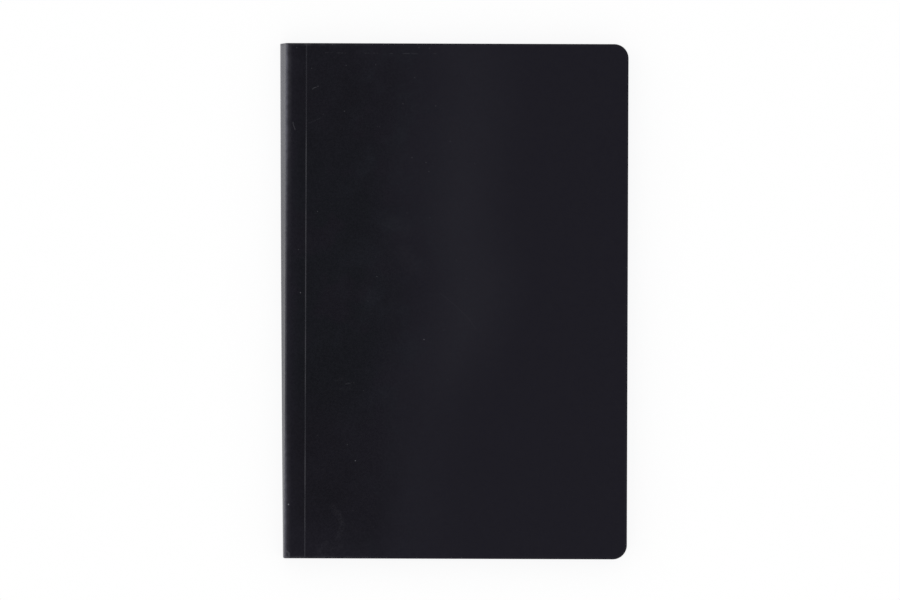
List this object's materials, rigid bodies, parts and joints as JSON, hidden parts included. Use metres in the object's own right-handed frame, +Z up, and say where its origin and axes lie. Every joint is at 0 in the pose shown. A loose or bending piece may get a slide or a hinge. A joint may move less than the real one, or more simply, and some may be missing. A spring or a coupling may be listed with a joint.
{
  "type": "notebook",
  "caption": "Plain black softcover notebook with rounded fore-edge corners, sewn sections and covers that open on pressed hinge scores.",
  "frame": {"origin": "on the table, under the middle of the notebook's outline as it lies closed on its back cover", "axes": "+X from the spine to the fore-edge, +Y from the foot to the head, +Z up through the front cover"},
  "size_m": [0.1549, 0.2286, 0.0109],
  "materials": {
    "cover_card": "satin coated card",
    "page_paper": "uncoated",
    "binding_glue": "dry adhesive"
  },
  "bodies": {
    "book": {"page_block": "page_paper", "cover_spine": "cover_card", "spine_glue": "binding_glue"},
    "front": {"front_cover": "cover_card"},
    "rear": {"back_cover": "cover_card"}
  },
  "joints": [
    {"name": "front_cover_hinge", "type": "hinge", "parent": "book", "child": "front", "pos_m": [-0.06545, 0, 0.01095], "axis": [0, -1, 0], "range_deg": [0, 175]},
    {"name": "back_cover_hinge", "type": "hinge", "parent": "book", "child": "rear", "pos_m": [-0.06545, 0, -0.00005], "axis": [0, 1, 0], "range_deg": [0, 175]}
  ]
}
